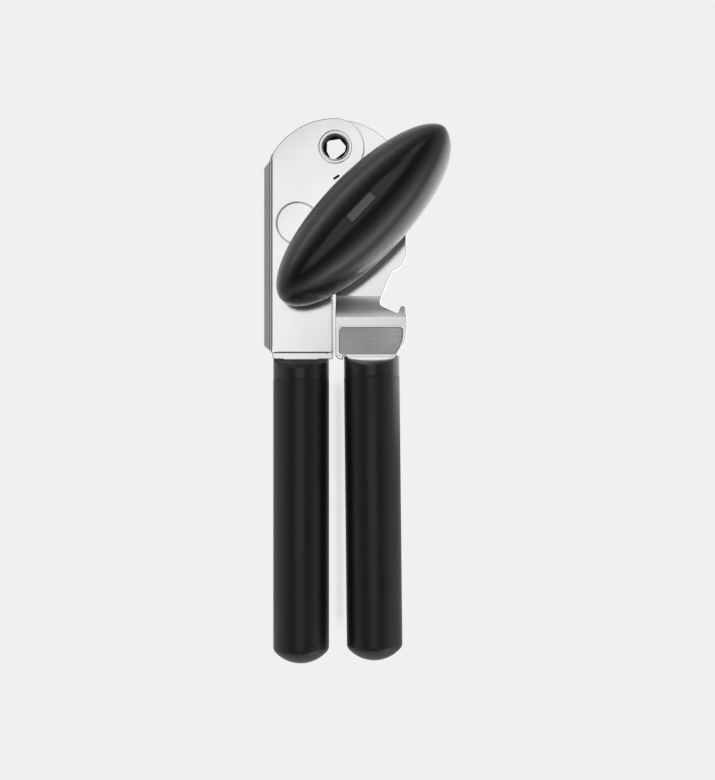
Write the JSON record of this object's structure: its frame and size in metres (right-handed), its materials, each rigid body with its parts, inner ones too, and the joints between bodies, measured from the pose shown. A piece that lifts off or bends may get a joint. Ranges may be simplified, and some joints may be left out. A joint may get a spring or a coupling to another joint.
{
  "type": "manual can opener",
  "caption": "Hand-held can opener: two soft round handles hinged at a hollow pivot, a big oval turning knob, a cutting wheel, a toothed drive wheel and a crown-cap lifter.",
  "frame": {"origin": "on the pivot's axis, at the height of the two handles' axes", "axes": "+Z along the pivot towards the knob, +Y from the handles towards the head, +X towards the drive arm"},
  "size_m": [0.062, 0.1789, 0.0362],
  "materials": {
    "polished_steel": "smooth satin sheet, brushed towards the foot, with bright rolled edges",
    "wheel_steel": "hardened and ground, with turned rings",
    "rivet_steel": "bright, rolled and peened ends",
    "washer_steel": "plain blanked washers",
    "soft_grip": "matt black soft grip with a fine moulded grain",
    "hard_collar": "black moulded collar, satin gloss",
    "knob_shell": "black moulded shell, smooth gloss",
    "knob_badge": "plain dark inlay, finely grained"
  },
  "bodies": {
    "cutter_arm": {"cutter_plate": "polished_steel", "cutter_stud": "rivet_steel", "stud_washer": "washer_steel", "wave_washer": "washer_steel", "rim_spacer": "wheel_steel", "pivot_rivet": "rivet_steel", "pivot_shim": "washer_steel", "pivot_washer": "washer_steel", "left_core": "hard_collar", "left_grip": "soft_grip"},
    "drive_arm": {"drive_plate": "polished_steel", "drive_bushing": "rivet_steel", "bushing_ring": "washer_steel", "right_core": "hard_collar", "right_grip": "soft_grip"},
    "knob_train": {"drive_shaft": "rivet_steel", "drive_wheel": "wheel_steel", "wheel_washer": "washer_steel", "end_washer": "washer_steel", "knob_top": "knob_shell", "knob_bottom": "knob_shell", "knob_insert": "rivet_steel", "knob_badge": "knob_badge", "knob_washer": "washer_steel"},
    "cutter": {"cutter_wheel": "wheel_steel"}
  },
  "joints": [
    {"name": "handle_open", "type": "hinge", "parent": "cutter_arm", "child": "drive_arm", "pos_m": [0, 0, 0], "axis": [0, 0, 1], "range_deg": [0, 25]},
    {"name": "knob_turn", "type": "hinge", "parent": "drive_arm", "child": "knob_train", "pos_m": [0.00983, -0.02415, 0], "axis": [0, 0, 1], "continuous": true},
    {"name": "cutter_spin", "type": "hinge", "parent": "cutter_arm", "child": "cutter", "pos_m": [-0.0123, -0.025, 0], "axis": [0, 0, 1], "continuous": true}
  ]
}
